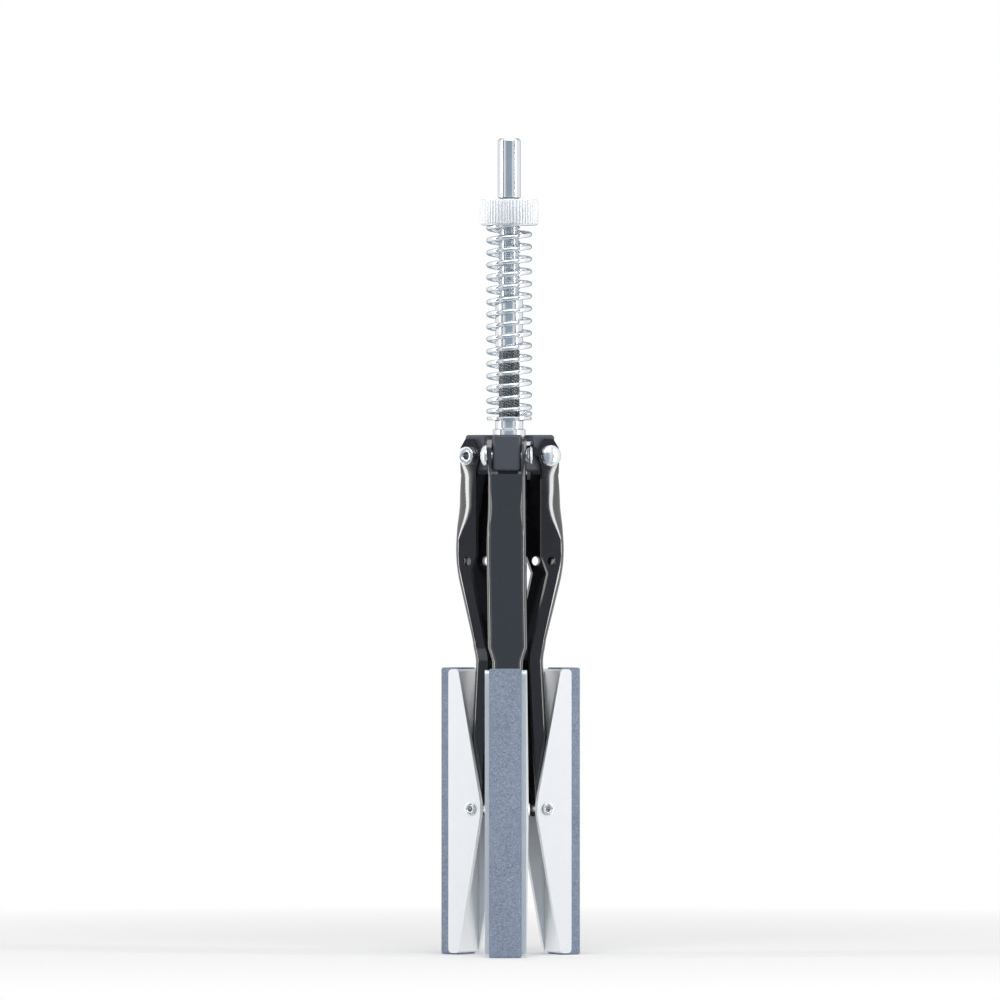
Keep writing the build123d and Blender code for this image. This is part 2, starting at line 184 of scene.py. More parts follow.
def minus(tree, first, second):
    """The first number or socket less the second."""
    return calc(tree, "SUBTRACT", first, second)


def vector_calc(tree, operation, values):
    """The outputs of a vector math node."""
    return add_node(tree, "ShaderNodeVectorMath", values, operation=operation).outputs


def add_noise(tree, place, scale, detail):
    """The value of a noise texture."""
    values = {"Vector": place, "Scale": scale, "Detail": detail}
    return add_node(tree, "ShaderNodeTexNoise", values).outputs[0]


def new_group(name, kind, inputs, outputs):
    """An empty node group with named sockets; inputs are (name, socket type, value)."""
    tree = bpy.data.node_groups.new(name, kind)
    for label, socket, value in inputs:
        made = tree.interface.new_socket(label, in_out="INPUT", socket_type=socket)
        if value is not None:
            made.default_value = value
    for label, socket in outputs:
        tree.interface.new_socket(label, in_out="OUTPUT", socket_type=socket)
    return tree, tree.nodes.new("NodeGroupInput").outputs, tree.nodes.new("NodeGroupOutput").inputs


# Shader groups shared by the finishes


def make_speckle():
    """Cloudy and fine speckle between 0 and 1, for tone and gloss that vary over a surface."""
    tree, given, out = new_group(
        "speckle", "ShaderNodeTree",
        [("Vector", VECTOR, None), ("Cloud Size", FLOAT, 8.0), ("Grain Size", FLOAT, 0.4),
         ("Grain Share", FLOAT, 0.4)],
        [("Value", FLOAT)],
    )
    cloud_scale = calc(tree, "DIVIDE", 1 / mm, given["Cloud Size"])
    grain_scale = calc(tree, "DIVIDE", 1 / mm, given["Grain Size"])
    cloud = add_noise(tree, given["Vector"], cloud_scale, 4.0)
    grain = add_noise(tree, given["Vector"], grain_scale, 2.0)
    mixed = add_node(tree, "ShaderNodeMix", {0: given["Grain Share"], 2: cloud, 3: grain})
    tree.links.new(mixed.outputs[0], out["Value"])
    return tree


def make_tool_marks():
    """Fine parallel marks across one direction, as a lathe, a drawing die or a belt leaves them."""
    tree, given, out = new_group(
        "tool_marks", "ShaderNodeTree",
        [("Vector", VECTOR, None), ("Stretch", VECTOR, (1.0, 1.0, 30.0)), ("Mark Size", FLOAT, 1.0)],
        [("Height", FLOAT)],
    )
    stretched = vector_calc(tree, "MULTIPLY", {0: given["Vector"], 1: given["Stretch"]})[0]
    scale = calc(tree, "DIVIDE", 1 / mm, given["Mark Size"])
    tree.links.new(add_noise(tree, stretched, scale, 3.0), out["Height"])
    return tree


def make_worn_edge():
    """Mask that is 1 on the outer edges of a piece and fades into its faces, broken up by a speckle."""
    tree, given, out = new_group(
        "worn_edge", "ShaderNodeTree",
        [("Radius", FLOAT, 0.2 * mm), ("Break Up", FLOAT, 0.5), ("Amount", FLOAT, 1.0)],
        [("Mask", FLOAT)],
    )
    rounded = add_node(tree, "ShaderNodeBevel", {"Radius": given["Radius"]}, samples=4)
    face = add_node(tree, "ShaderNodeNewGeometry")
    facing = vector_calc(tree, "DOT_PRODUCT", {0: rounded.outputs[0], 1: face.outputs["Normal"]})
    turned = minus(tree, 1.0, facing["Value"])
    broken = calc(tree, "MULTIPLY_ADD", given["Break Up"], -1.0, product(tree, turned, 14.0))
    masked = product(tree, calc(tree, "MAXIMUM", broken, 0.0), given["Amount"])
    tree.links.new(calc(tree, "MINIMUM", masked, 1.0), out["Mask"])
    return tree


def make_painted_crevice_shade():
    """Painted shade: a mask that is 1 in the open and falls towards 0 in holes, grooves and inner corners,
    to darken them.
    """
    tree, given, out = new_group(
        "painted_crevice_shade", "ShaderNodeTree",
        [("Reach", FLOAT, 1.0 * mm), ("Open Value", FLOAT, 0.6)],
        [("Mask", FLOAT)],
    )
    reach = {"Distance": given["Reach"]}
    open_sky = add_node(tree, "ShaderNodeAmbientOcclusion", reach, samples=8, only_local=True)
    level = calc(tree, "DIVIDE", open_sky.outputs["AO"], given["Open Value"])
    tree.links.new(calc(tree, "MINIMUM", level, 1.0), out["Mask"])
    return tree


speckle = make_speckle()
tool_marks = make_tool_marks()
worn_edge = make_worn_edge()
painted_crevice_shade = make_painted_crevice_shade()


def use_group(tree, group, values):
    """The output of a shared group placed in a material with that material's own values."""
    return add_node(tree, "ShaderNodeGroup", values, node_tree=group).outputs[0]


def start_material(name):
    """A material with its tree, its Principled shader and its Object coordinates."""
    made = bpy.data.materials.new(name)
    made.use_nodes = True
    tree = made.node_tree
    place = add_node(tree, "ShaderNodeTexCoord").outputs["Object"]
    return made, tree, tree.nodes["Principled BSDF"], place


def blend_colours(tree, share, first, second):
    """Colour between two tones."""
    mix = add_node(tree, "ShaderNodeMix", {0: share, 6: first, 7: second}, data_type="RGBA")
    return mix.outputs[2]


def add_bump(tree, shader, height, strength, distance):
    """Small relief on a shader's surface."""
    bump = add_node(tree, "ShaderNodeBump", {"Height": height, "Strength": strength, "Distance": distance})
    tree.links.new(bump.outputs[0], shader.inputs["Normal"])


def remap(tree, value, low, high, from_low=0.3, from_high=0.7):
    """A value moved to a new range, clamped at both ends."""
    return add_node(
        tree, "ShaderNodeMapRange",
        {"Value": value, "From Min": from_low, "From Max": from_high, "To Min": low, "To Max": high},
    ).outputs[0]


def plated_steel(name, tones, rough_low, rough_high, stretch, mark_size, mark_height=0.012 * mm, reach=1.0,
                 coordinates=None):
    """Bright zinc plate: cloudy tone, tool marks that run one way, brighter edges, and painted shade that
    darkens crevices.
    """
    made, tree, shader, place = start_material(name)
    tone, dull_tone = tones
    if coordinates:
        place = add_node(tree, "ShaderNodeUVMap", uv_map=coordinates).outputs[0]
    cloud = use_group(tree, speckle, {"Vector": place, "Cloud Size": 7.0, "Grain Size": 0.5})
    grain = {"Vector": place, "Stretch": stretch, "Mark Size": mark_size}
    marks = use_group(tree, tool_marks, grain)
    edge = use_group(tree, worn_edge, {"Break Up": cloud, "Amount": 0.8})
    colour = blend_colours(tree, remap(tree, cloud, 0.0, 1.0), (*dull_tone, 1), (*tone, 1))
    worn = blend_colours(tree, edge, colour, (0.93, 0.93, 0.94, 1))
    # Painted shade: the colour sinks towards a dark tone in holes, grooves and inner corners.
    painted_shade_mask = use_group(tree, painted_crevice_shade, {"Reach": reach * mm})
    shaded_colour = blend_colours(tree, painted_shade_mask, (*(0.12 * part for part in dull_tone), 1), worn)
    rough = calc(tree, "ADD", remap(tree, cloud, rough_low, rough_high), remap(tree, marks, -0.04, 0.06))
    tree.links.new(shaded_colour, shader.inputs["Base Color"])
    tree.links.new(rough, shader.inputs["Roughness"])
    shader.inputs["Metallic"].default_value = 1.0
    add_bump(tree, shader, marks, 0.5, mark_height)
    return made


def black_finish(name, tone, worn_tone, rough_low, rough_high, coat, grain_size, grain_height):
    """Black coat on steel: slight waves, cloudy gloss and thin edges where the coat is lighter."""
    made, tree, shader, place = start_material(name)
    cloud = use_group(tree, speckle, {"Vector": place, "Cloud Size": 9.0, "Grain Size": 0.6})
    skin = use_group(
        tree, speckle, {"Vector": place, "Cloud Size": grain_size, "Grain Size": 0.15, "Grain Share": 0.3}
    )
    edge = use_group(tree, worn_edge, {"Radius": 0.25 * mm, "Break Up": cloud, "Amount": 0.55})
    colour = blend_colours(tree, edge, (*tone, 1), (*worn_tone, 1))
    tree.links.new(colour, shader.inputs["Base Color"])
    tree.links.new(remap(tree, cloud, rough_low, rough_high), shader.inputs["Roughness"])
    shader.inputs["Coat Weight"].default_value = coat
    shader.inputs["Coat Roughness"].default_value = 0.08
    shader.inputs["Coat IOR"].default_value = 1.7
    add_bump(tree, shader, skin, 0.4, grain_height)
    return made


def grit_material():
    """Open silicon carbide grit: grey-blue grains of several tones, a few bright faces, and pores darkened
    with painted shade in the pits the bump makes.
    """
    made, tree, shader, place = start_material("silicon_carbide_grit")
    grains = add_node(tree, "ShaderNodeTexVoronoi", {"Vector": place, "Scale": 1 / (0.3 * mm)})
    fine = add_noise(tree, place, 1 / (0.42 * mm), 5.0)
    cloud = use_group(tree, speckle, {"Vector": place, "Cloud Size": 14.0, "Grain Size": 1.2})
    tint = add_node(tree, "ShaderNodeSeparateColor", {0: grains.outputs["Color"]}).outputs[0]
    deep, pale = (0.205, 0.248, 0.335, 1), (0.265, 0.315, 0.42, 1)
    bright_grain, pore_painted_shade = (0.42, 0.475, 0.57, 1), (0.10, 0.12, 0.168, 1)
    body = blend_colours(tree, remap(tree, cloud, 0.0, 1.0), deep, pale)
    light = blend_colours(tree, remap(tree, tint, 0.0, 0.6, 0.6, 1.0), body, bright_grain)
    # Painted shade: the colour falls to the pore tone where the fine noise is low, where the bump sinks into
    # pits.
    pore_shaded = blend_colours(tree, remap(tree, fine, 0.7, 0.0, 0.34, 0.5), light, pore_painted_shade)
    tree.links.new(pore_shaded, shader.inputs["Base Color"])
    tree.links.new(remap(tree, tint, 0.95, 0.55, 0.7, 1.0), shader.inputs["Roughness"])
    height = calc(tree, "ADD", fine, product(tree, tint, 0.5))
    add_bump(tree, shader, height, 0.8, 0.12 * mm)
    return made


bright_tones = ((0.80, 0.83, 0.86), (0.70, 0.73, 0.77))
turned_steel = plated_steel("turned_zinc_steel", bright_tones, 0.13, 0.22, (1.0, 1.0, 24.0), 2.0, reach=1.2)
zinc_plate = plated_steel("bright_zinc_plate", bright_tones, 0.15, 0.26, (1.0, 1.0, 18.0), 1.6)
dull_plate = plated_steel("dulled_zinc_plate", ((0.22, 0.23, 0.25), (0.12, 0.125, 0.14)), 0.3, 0.45,
                          (1.0, 1.0, 4.0), 1.6)
nut_zinc = plated_steel("knurled_nut_zinc", ((0.90, 0.905, 0.915), (0.83, 0.84, 0.855)), 0.46, 0.56,
                        (1.0, 1.0, 10.0), 1.2, reach=0.3)
spring_zinc = plated_steel("drawn_spring_wire", ((0.86, 0.88, 0.90), (0.76, 0.79, 0.82)), 0.14, 0.24,
                           (1.0, 12.0, 1.0), 2.0, 0.01 * mm, 0.8, coordinates="wire_map")
rivet_zinc = plated_steel("rivet_zinc", ((0.84, 0.86, 0.88), (0.76, 0.78, 0.81)), 0.20, 0.30,
                          (1.0, 1.0, 1.0), 0.8, 0.01 * mm, 1.6)
holder_plate = plated_steel("pressed_holder_plate", ((0.87, 0.88, 0.89), (0.81, 0.822, 0.835)), 0.54, 0.64,
                            (12.0, 12.0, 1.0), 1.5, 0.01 * mm, 3.0)
cable_wire = plated_steel("oiled_dark_wire", ((0.22, 0.235, 0.25), (0.13, 0.14, 0.15)), 0.2, 0.32,
                          (1.0, 1.0, 4.0), 2.0, 0.006 * mm, 0.5)
arm_paint = black_finish("gloss_black_paint", (0.009, 0.0095, 0.0125), (0.03, 0.032, 0.037), 0.10, 0.18,
                         1.0, 1.6, 0.012 * mm)
hub_black = black_finish("satin_black_oxide", (0.058, 0.064, 0.082), (0.17, 0.176, 0.195), 0.36, 0.5,
                         0.0, 0.5, 0.02 * mm)
stone_grit = grit_material()


# Geometry trees


def close_tree(tree, geometry, material, out):
    """Every geometry tree ends in real geometry with its material."""
    real = add_node(tree, "GeometryNodeRealizeInstances", {"Geometry": geometry})
    painted = add_node(tree, "GeometryNodeSetMaterial", {"Geometry": real.outputs[0], "Material": material})
    tree.links.new(painted.outputs[0], out["Geometry"])


def make_relief_tree():
    """Helical or straight grooves cut into a turned surface: threads, wires laid on a core, knurls."""
    tree, given, out = new_group(
        "turned_relief", "GeometryNodeTree",
        [("Geometry", GEOMETRY, None), ("Depth", FLOAT, 0.5 * mm), ("Grooves", FLOAT, 1.0),
         ("Turns Per Metre", FLOAT, 0.0), ("Roundness", FLOAT, 0.0), ("Flat Share", FLOAT, 0.1),
         ("Low End", FLOAT, 0.0), ("High End", FLOAT, 0.0), ("Fade", FLOAT, 1.0 * mm),
         ("Least Radius", FLOAT, 0.0), ("Material", MATERIAL, None)],
        [("Geometry", GEOMETRY)],
    )
    place = add_node(tree, "GeometryNodeInputPosition").outputs[0]
    axes = add_node(tree, "ShaderNodeSeparateXYZ", {0: place}).outputs
    angle = calc(tree, "DIVIDE", calc(tree, "ARCTAN2", axes[1], axes[0]), 2 * pi)
    advance = product(tree, axes[2], given["Turns Per Metre"])
    phase = calc(tree, "FRACT", calc(tree, "ADD", product(tree, angle, given["Grooves"]), advance))
    swing = calc(tree, "ABSOLUTE", calc(tree, "MULTIPLY_ADD", phase, 2.0, -1.0))
    flank = product(tree, swing, calc(tree, "ADD", 1.0, given["Flat Share"]))
    sharp = calc(tree, "MINIMUM", flank, 1.0)
    bulge = calc(tree, "SQRT", minus(tree, 1.0, product(tree, swing, swing)))
    hollow = minus(tree, 1.0, bulge)
    share = given["Roundness"]
    groove = calc(tree, "MULTIPLY_ADD", share, minus(tree, hollow, sharp), sharp)
    above = calc(tree, "DIVIDE", minus(tree, axes[2], given["Low End"]), given["Fade"])
    below = calc(tree, "DIVIDE", minus(tree, given["High End"], axes[2]), given["Fade"])
    within = calc(tree, "MINIMUM", calc(tree, "MINIMUM", above, below), 1.0)
    squares = [product(tree, axis, axis) for axis in axes[:2]]
    radius = calc(tree, "SQRT", calc(tree, "ADD", *squares))
    outside = calc(tree, "GREATER_THAN", radius, given["Least Radius"])
    mask = product(tree, calc(tree, "MAXIMUM", within, 0.0), outside)
    cut = product(tree, product(tree, groove, mask), given["Depth"])
    inward = calc(tree, "DIVIDE", product(tree, cut, -1.0), calc(tree, "MAXIMUM", radius, 0.1 * mm))
    flat = add_node(tree, "ShaderNodeCombineXYZ", {0: axes[0], 1: axes[1]}).outputs[0]
    offset = vector_calc(tree, "SCALE", {0: flat, "Scale": inward})[0]
    moved = add_node(tree, "GeometryNodeSetPosition", {"Geometry": given["Geometry"], "Offset": offset})
    close_tree(tree, moved.outputs[0], given["Material"], out)
    return tree


def capture(tree, geometry, value, name):
    """Geometry that carries a number on its points, and that number."""
    kept = add_node(tree, "GeometryNodeCaptureAttribute", {"Geometry": geometry}, domain="POINT")
    kept.capture_items.new("FLOAT", name)
    tree.links.new(value, kept.inputs[1])
    return kept.outputs


def make_coil_tree():
    """Round wire wound from a closed, ground end towards an open one."""
    tree, given, out = new_group(
        "wound_wire", "GeometryNodeTree",
        [("Geometry", GEOMETRY, None), ("Coil Radius", FLOAT, 7.0 * mm), ("Wire Radius", FLOAT, 1.0 * mm),
         ("Turns", FLOAT, 4.0), ("Closed Turns", FLOAT, 1.0), ("Pitch", FLOAT, 4.0 * mm),
         ("Ground Level", FLOAT, 0.0), ("Direction", FLOAT, 1.0), ("Points", "NodeSocketInt", 400),
         ("Material", MATERIAL, None)],
        [("Geometry", GEOMETRY)],
    )
    line = add_node(tree, "GeometryNodeMeshLine", {"Count": given["Points"]})
    wire = add_node(tree, "GeometryNodeMeshToCurve", {"Mesh": line.outputs[0]})
    index = add_node(tree, "GeometryNodeInputIndex").outputs[0]
    last = minus(tree, given["Points"], 1.0)
    turn = product(tree, calc(tree, "DIVIDE", index, last), given["Turns"])
    to_end = minus(tree, turn, given["Turns"])
    angle = product(tree, product(tree, to_end, 2 * pi), given["Direction"])
    wire_width = product(tree, given["Wire Radius"], 2.0)
    opened = calc(tree, "SMOOTH_MAX", minus(tree, turn, given["Closed Turns"]), 0.0, 0.25)
    spread = product(tree, minus(tree, given["Pitch"], wire_width), opened)
    rise = calc(tree, "ADD", calc(tree, "MULTIPLY_ADD", turn, wire_width, spread), given["Wire Radius"])
    height = calc(tree, "MULTIPLY_ADD", rise, given["Direction"], given["Ground Level"])
    spot = add_node(tree, "ShaderNodeCombineXYZ", {
        0: product(tree, calc(tree, "COSINE", angle), given["Coil Radius"]),
        1: product(tree, calc(tree, "SINE", angle), given["Coil Radius"]),
        2: height,
    }).outputs[0]
    wound = add_node(tree, "GeometryNodeSetPosition", {"Geometry": wire.outputs[0], "Position": spot})
    along = add_node(tree, "GeometryNodeSplineParameter").outputs["Length"]
    kept = capture(tree, wound.outputs[0], along, "Along")
    section = add_node(tree, "GeometryNodeCurvePrimitiveCircle", {
        "Resolution": 20, "Radius": given["Wire Radius"],
    })
    around = add_node(tree, "GeometryNodeSplineParameter").outputs["Factor"]
    kept_section = capture(tree, section.outputs[0], around, "Around")
    tube = add_node(tree, "GeometryNodeCurveToMesh", {
        "Curve": kept[0], "Profile Curve": kept_section[0], "Fill Caps": True,
    })
    girth = product(tree, given["Wire Radius"], 2 * pi)
    width = product(tree, kept_section[1], girth)
    chart = add_node(tree, "ShaderNodeCombineXYZ", {0: kept[1], 1: width}).outputs[0]
    mapped = add_node(tree, "GeometryNodeStoreNamedAttribute", {
        "Geometry": tube.outputs[0], "Name": "wire_map", "Value": chart,
    }, data_type="FLOAT2", domain="CORNER")
    place = add_node(tree, "GeometryNodeInputPosition").outputs[0]
    axes = add_node(tree, "ShaderNodeSeparateXYZ", {0: place}).outputs
    off_ground = minus(tree, axes[2], given["Ground Level"])
    beyond = product(tree, off_ground, given["Direction"])
    inward = product(tree, given["Direction"], -1.0)
    grind = product(tree, calc(tree, "MINIMUM", beyond, 0.0), inward)
    ground = add_node(tree, "ShaderNodeCombineXYZ", {2: grind}).outputs[0]
    flat = add_node(tree, "GeometryNodeSetPosition", {"Geometry": mapped.outputs[0], "Offset": ground})
    close_tree(tree, flat.outputs[0], given["Material"], out)
    return tree


def make_grit_tree():
    """Pits and rounded grains pressed into a bonded stone."""
    tree, given, out = new_group(
        "grit_surface", "GeometryNodeTree",
        [("Geometry", GEOMETRY, None), ("Grain Size", FLOAT, 0.9 * mm), ("Depth", FLOAT, 0.08 * mm),
         ("Seed", FLOAT, 1.0), ("Material", MATERIAL, None)],
        [("Geometry", GEOMETRY)],
    )
    place = add_node(tree, "GeometryNodeInputPosition").outputs[0]
    normal = add_node(tree, "GeometryNodeInputNormal").outputs[0]
    scale = calc(tree, "DIVIDE", 1.0, given["Grain Size"])
    noise = add_node(tree, "ShaderNodeTexNoise", {
        "Vector": place, "W": given["Seed"], "Scale": scale, "Detail": 3.0,
    }, noise_dimensions="4D")
    push = product(tree, minus(tree, noise.outputs[0], 0.75), given["Depth"])
    offset = vector_calc(tree, "SCALE", {0: normal, "Scale": push})[0]
    moved = add_node(tree, "GeometryNodeSetPosition", {"Geometry": given["Geometry"], "Offset": offset})
    close_tree(tree, moved.outputs[0], given["Material"], out)
    return tree


relief_tree = make_relief_tree()
coil_tree = make_coil_tree()
grit_tree = make_grit_tree()


# Mesh helpers


def add_object(name, data):
    """A new object, linked to the scene."""
    made = bpy.data.objects.new(name, data)
    scene.collection.objects.link(made)
    return made


def mesh_of(shape, name):
    """A mesh of what a bmesh holds; the bmesh goes."""
    mesh = bpy.data.meshes.new(name)
    shape.to_mesh(mesh)
    shape.free()
    return mesh


def bridge(shape, first, second):
    """A band of faces between two rings that have as many corners."""
    for k in range(len(first)):
        following = (k + 1) % len(first)
        shape.faces.new((first[k], first[following], second[following], second[k]))


def eased(points, radii, steps=4):
    """A profile with its inner corners rounded; radii are in millimetres, one or one for each corner."""
    sizes = radii if isinstance(radii, (list, tuple)) else [radii] * (len(points) - 2)
    made = [tuple(points[0])]
    for before, corner, after, size in zip(points, points[1:], points[2:], sizes):
        corner = Vector(corner)
        to_before = Vector(before) - corner
        to_after = Vector(after) - corner
        half_angle = to_before.angle(to_after) / 2
        room = largest_share * min(to_before.length, to_after.length)
        reach = min(size * mm / tan(half_angle), room)
        if reach < least_length:
            made.append(tuple(corner))
            continue
        start = corner + to_before.normalized() * reach
        end = corner + to_after.normalized() * reach
        middle = (start + end) / 2
        centre = corner + (middle - corner) / cos(half_angle) ** 2
        sweep = (start - centre).angle(end - centre)
        for step in range(steps + 1):
            share = step / steps
            near = (start - centre) * sin((1 - share) * sweep)
            far = (end - centre) * sin(share * sweep)
            made.append(tuple(centre + (near + far) / sin(sweep)))
    made.append(tuple(points[-1]))
    return made


def turned_mesh(name, profile, segments=96, place=None):
    """A closed shell turned about Z from a profile of (radius, height) points, then set in its place."""
    shape = bmesh.new()
    turn = 2 * pi / segments
    rings = []
    for radius, height in profile:
        if radius < least_length:
            rings.append([shape.verts.new((0, 0, height))])
            continue
        rings.append([
            shape.verts.new((radius * cos(turn * k), radius * sin(turn * k), height))
            for k in range(segments)
        ])
    closed = len(rings[0]) > 1
    pairs = list(zip(rings, rings[1:])) + ([(rings[-1], rings[0])] if closed else [])
    for first, second in pairs:
        for k in range(segments):
            following = (k + 1) % segments
            corners = []
            for vertex in (first[k % len(first)], first[following % len(first)],
                           second[following % len(second)], second[k % len(second)]):
                if vertex not in corners:
                    corners.append(vertex)
            shape.faces.new(corners)
    bmesh.ops.recalc_face_normals(shape, faces=shape.faces)
    if place:
        shape.transform(place)
    return mesh_of(shape, name)


def finish_piece(name, mesh, material, body, stands_for=(), smooth_angle=sheet_angle):
    """A named piece with its finish, riding on its body and standing for its nodes."""
    piece = add_object(name, mesh)
    mesh.materials.clear()
    mesh.materials.append(material)
    mesh.shade_smooth()
    mesh.set_sharp_from_angle(angle=radians(smooth_angle))
    if body:
        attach(piece, body)
    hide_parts(*stands_for)
    return piece


def through_tree(mesh, tree, values):
    """The mesh as a geometry tree leaves it, as a plain mesh of its own."""
    carrier = add_object(mesh.name + "_carrier", mesh)
    modifier = carrier.modifiers.new("tree", "NODES")
    modifier.node_group = tree
    sockets = {item.name: item.identifier for item in tree.interface.items_tree if item.in_out == "INPUT"}
    for label, value in values.items():
        modifier[sockets[label]] = value
    made = evaluated_copy(carrier)
    made.name = mesh.name
    return made


def evaluated_copy(carrier):
    """A plain mesh of what a carrier's modifiers make; the carrier goes."""
    graph = bpy.context.evaluated_depsgraph_get()
    made = bpy.data.meshes.new_from_object(carrier.evaluated_get(graph))
    bpy.data.objects.remove(carrier)
    return made


def even_shading(mesh):
    """The mesh with normals that follow its large faces, so that flat sheet is shaded flat."""
    mesh.shade_smooth()
    mesh.set_sharp_from_angle(angle=radians(sheet_angle))
    carrier = add_object("shading_carrier", mesh)
    weighted = carrier.modifiers.new("weighted", "WEIGHTED_NORMAL")
    weighted.weight = 100
    weighted.keep_sharp = True
    return evaluated_copy(carrier)


def merged_copy(node, name):
    """A construction node's mesh with its facets merged."""
    shape = bmesh.new()
    shape.from_mesh(frame["nodes"][node].data)
    bmesh.ops.remove_doubles(shape, verts=shape.verts, dist=1e-6)
    bmesh.ops.dissolve_limit(
        shape, angle_limit=radians(0.6), use_dissolve_boundaries=False,
        verts=shape.verts, edges=shape.edges, delimit={"NORMAL"},
    )
    return mesh_of(shape, name)


def ease_edges(carrier, width, segments, sharp_angle):
    """Rounds the edges of a carrier that are sharper than an angle."""
    ease = carrier.modifiers.new("ease", "BEVEL")
    ease.width = width
    ease.segments = segments
    ease.limit_method = "ANGLE"
    ease.angle_limit = radians(sharp_angle)


def eased_copy(node, name, edge):
    """A merged copy of a construction node with its sharp edges eased."""
    carrier = add_object(name + "_carrier", merged_copy(node, name))
    ease_edges(carrier, edge, 3, 32)
    return even_shading(evaluated_copy(carrier))


def spaced(start, end, step):
    """Heights from start to end, about a step apart."""
    count = max(1, round(abs(end - start) / step))
    return [start + (end - start) * k / count for k in range(count + 1)]


def cross_place(angle, radius, height):
    """Place of a cross pin: Z runs along the pin towards its head, X out along the arm, Y up."""
    a = radians(angle)
    out = Vector((cos(a), sin(a), 0))
    along = Vector((sin(a), -cos(a), 0))
    turn = Matrix((out, (0, 0, 1), along)).transposed().to_4x4()
    return Matrix.Translation(out * radius + Vector((0, 0, height))) @ turn


# Drive shank with its adjusting thread


def build_drive_shank():
    """Chamfered plain end, a thread relief, and the adjusting thread down to the ferrule."""
    top, thread_end = shank_high.z, shank_low.z
    thread_top = top - shank_plain
    relief_radius = thread_crest - 0.5 * mm
    plain = [(0, top), (shank_radius - shank_chamfer, top), (shank_radius, top - shank_chamfer),
             (shank_radius, thread_top + 0.2 * mm), (relief_radius, thread_top - 0.3 * mm),
             (relief_radius, thread_top - 1.0 * mm), (thread_crest, thread_top - 1.4 * mm)]
    levels = spaced(thread_top - 1.5 * mm, thread_end, thread_pitch / rows_per_pitch)
    profile = eased(plain, [0.25, 0.25, 0.1, 0.1, 0.1]) + [(thread_crest, level) for level in levels]
    mesh = turned_mesh("drive_shank_turned", profile + [(0, thread_end)], segments=80)
    mesh = through_tree(mesh, relief_tree, {
        "Depth": thread_depth, "Grooves": 1.0, "Turns Per Metre": -1 / thread_pitch, "Flat Share": 0.15,
        "Low End": thread_end, "High End": thread_top - 1.2 * mm, "Fade": 1.2 * mm,
        "Least Radius": thread_crest - 0.2 * mm, "Material": turned_steel,
    })
    finish_piece("drive_shank_turned", mesh, turned_steel, "shank", ["drive_shank"], 75)


def build_upper_ferrule():
    """Sleeve bored for the thread above and for the cable below."""
    radius = ferrule_high.x
    top, low = ferrule_high.z, ferrule_low.z
    thread_bore = thread_crest + 0.05 * mm
    outline = [(thread_bore, top - 1.0 * mm), (thread_bore, top), (radius, top), (radius, low),
               (cable_bore, low), (cable_bore, low + 2 * mm)]
    mesh = turned_mesh("upper_ferrule_turned", eased(outline, [0.1, 0.6, 0.6, 0.1]))
    finish_piece("upper_ferrule_turned", mesh, turned_steel, "shank", ["upper_ferrule"])


def build_thrust_washer():
    """Flat stamped ring between the nut and the spring."""
    radius = washer_high.x
    top, low = washer_high.z, washer_low.z
    seam = (washer_bore, (top + low) / 2)
    outline = [seam, (washer_bore, top), (radius, top), (radius, low), (washer_bore, low), seam]
    mesh = turned_mesh("thrust_washer_stamped", eased(outline, 0.18)[:-1])
    finish_piece("thrust_washer_stamped", mesh, zinc_plate, "washer", ["thrust_washer"])


def build_tension_nut():
    """Straight knurl between two narrow rims, with the recess for the spring's end below."""
    radius = nut_high.x
    top, low = nut_high.z, nut_low.z
    rim_radius = radius - knurl_room
    recess_top = low + nut_recess_depth
    bore = thread_crest + 0.15 * mm
    lead_in = 0.7 * mm
    band_top, band_low = top - nut_rim, low + nut_rim
    outer = [(bore, top - lead_in), (bore + lead_in, top), (rim_radius, top), (rim_radius, band_top),
             (radius, band_top), (radius, band_low), (rim_radius, band_low), (rim_radius, low),
             (nut_recess_radius, low), (nut_recess_radius, recess_top), (bore, recess_top),
             (bore, top - lead_in)]
    profile = eased(outer, [0.1, 0.2, 0.0, 0.15, 0.15, 0.0, 0.2, 0.3, 0.3, 0.1])[:-1]
    mesh = turned_mesh("tension_nut_knurled", profile, segments=knurl_flutes * 8)
    mesh = through_tree(mesh, relief_tree, {
        "Depth": knurl_depth, "Grooves": float(knurl_flutes), "Flat Share": 0.1, "Roundness": 0.9,
        "Low End": band_low - 0.01 * mm, "High End": band_top + 0.01 * mm, "Fade": 0.02 * mm,
        "Least Radius": rim_radius + 0.1 * mm, "Material": nut_zinc,
    })
    finish_piece("tension_nut_knurled", mesh, nut_zinc, "nut", ["tension_nut"], 40)


def build_pressure_spring():
    """One wire in two stretches: the upper is pressed together by the nut, the lower stands on the collar's
    seat and rides on no body.
    """
    closed_height = 2 * wire_radius * closed_turns
    upper_length = washer_low.z - bend_level - wire_radius
    pitch = (upper_length - closed_height) / (upper_turns - closed_turns)
    lower_length = bend_level - collar_high.z - wire_radius
    lower_turns = closed_turns + (lower_length - closed_height) / pitch
    stretches = (("pressure_spring_upper", upper_turns, washer_low.z, -1.0),
                 ("pressure_spring_lower", lower_turns, collar_high.z, 1.0))
    for name, turns, level, direction in stretches:
        mesh = through_tree(bpy.data.meshes.new(name), coil_tree, {
            "Coil Radius": coil_radius, "Wire Radius": wire_radius, "Turns": float(turns),
            "Closed Turns": closed_turns, "Pitch": pitch, "Ground Level": level, "Direction": direction,
            "Points": round(turns * points_per_turn), "Material": spring_zinc,
        })
        upper = direction < 0
        piece = finish_piece(name, mesh, spring_zinc, "shank" if upper else None,
                             ["pressure_spring"] if upper else [], 60)
        if upper:
            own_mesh(piece)
        else:
            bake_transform(piece)


